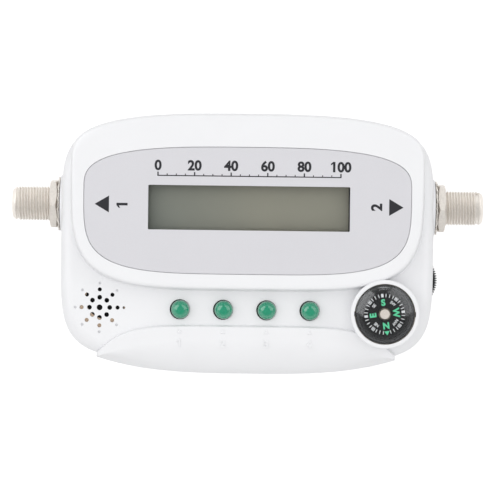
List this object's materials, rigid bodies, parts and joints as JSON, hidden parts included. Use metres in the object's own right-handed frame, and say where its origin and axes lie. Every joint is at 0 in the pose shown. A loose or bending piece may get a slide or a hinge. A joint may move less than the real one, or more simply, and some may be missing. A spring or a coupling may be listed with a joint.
{
  "type": "satellite signal meter",
  "caption": "Handheld satellite signal meter with a display, a row of lamps, a sounder, a compass, a side gain wheel and a threaded coaxial port on each side.",
  "frame": {"origin": "middle of the bounding box, on the plane of the back that the meter lies on", "axes": "+X towards the right-hand port, +Y towards the top edge of the face, +Z out of the face"},
  "size_m": [0.131, 0.0717, 0.0334],
  "materials": {
    "white_case": "satin moulded white",
    "silver_label": "matt silver film",
    "clear_plastic": "clear polished",
    "display_glass": "grey-green polariser",
    "backlight_plastic": "milky diffuser",
    "black_plastic": "matt black",
    "green_lamp": "tinted epoxy",
    "nickel": "nickel plated brass",
    "tinned_steel": "tinned sheet",
    "zinc_steel": "zinc plated",
    "insulator": "off-white moulded",
    "tan_board": "bare laminate",
    "green_board": "green solder mask",
    "chip_black": "moulded epoxy",
    "aluminium": "bare can",
    "copper": "enamelled copper"
  },
  "bodies": {
    "meter": {"board_screw_1": "zinc_steel", "board_screw_2": "zinc_steel", "buzzer": "black_plastic", "capacitor_1": "aluminium", "capacitor_2": "aluminium", "compass_cup": "black_plastic", "compass_dome": "clear_plastic", "compass_pivot": "nickel", "controller_chip": "chip_black", "cover_screw_1": "zinc_steel", "cover_screw_2": "zinc_steel", "cover_screw_3": "zinc_steel", "cover_screw_4": "zinc_steel", "crystal": "tinned_steel", "display_backlight": "backlight_plastic", "display_board": "green_board", "display_frame": "black_plastic", "display_glass": "display_glass", "display_header": "black_plastic", "display_window": "clear_plastic", "face_label": "silver_label", "front_cover": "white_case", "lamp_1": "green_lamp", "lamp_2": "green_lamp", "lamp_3": "green_lamp", "lamp_4": "green_lamp", "main_board": "tan_board", "port_left_body": "nickel", "port_left_contact": "nickel", "port_left_insulator": "insulator", "port_left_nut": "nickel", "port_left_washer": "nickel", "port_right_body": "nickel", "port_right_contact": "nickel", "port_right_insulator": "insulator", "port_right_nut": "nickel", "port_right_washer": "nickel", "pot_body": "black_plastic", "rear_cover": "white_case", "rear_label": "silver_label", "regulator": "chip_black", "tuner_board": "green_board", "tuner_chip": "chip_black", "tuner_coil_1": "copper", "tuner_coil_2": "copper", "tuner_cover": "tinned_steel", "tuner_shield": "tinned_steel"},
    "gain_wheel": {"gain_wheel": "black_plastic", "pot_shaft": "insulator", "wheel_screw": "zinc_steel"},
    "compass_card": {"compass_card": "black_plastic", "compass_cap": "nickel", "compass_magnet": "tinned_steel"}
  },
  "joints": [
    {"name": "gain_wheel_turn", "type": "hinge", "parent": "meter", "child": "gain_wheel", "pos_m": [0.0453, -0.0095, 0.0131], "axis": [0, 0, 1], "range_deg": [-140, 140]},
    {"name": "compass_card_swing", "type": "hinge", "parent": "meter", "child": "compass_card", "pos_m": [0.0379, -0.0187, 0.0285], "axis": [0, 0, 1], "continuous": true}
  ]
}
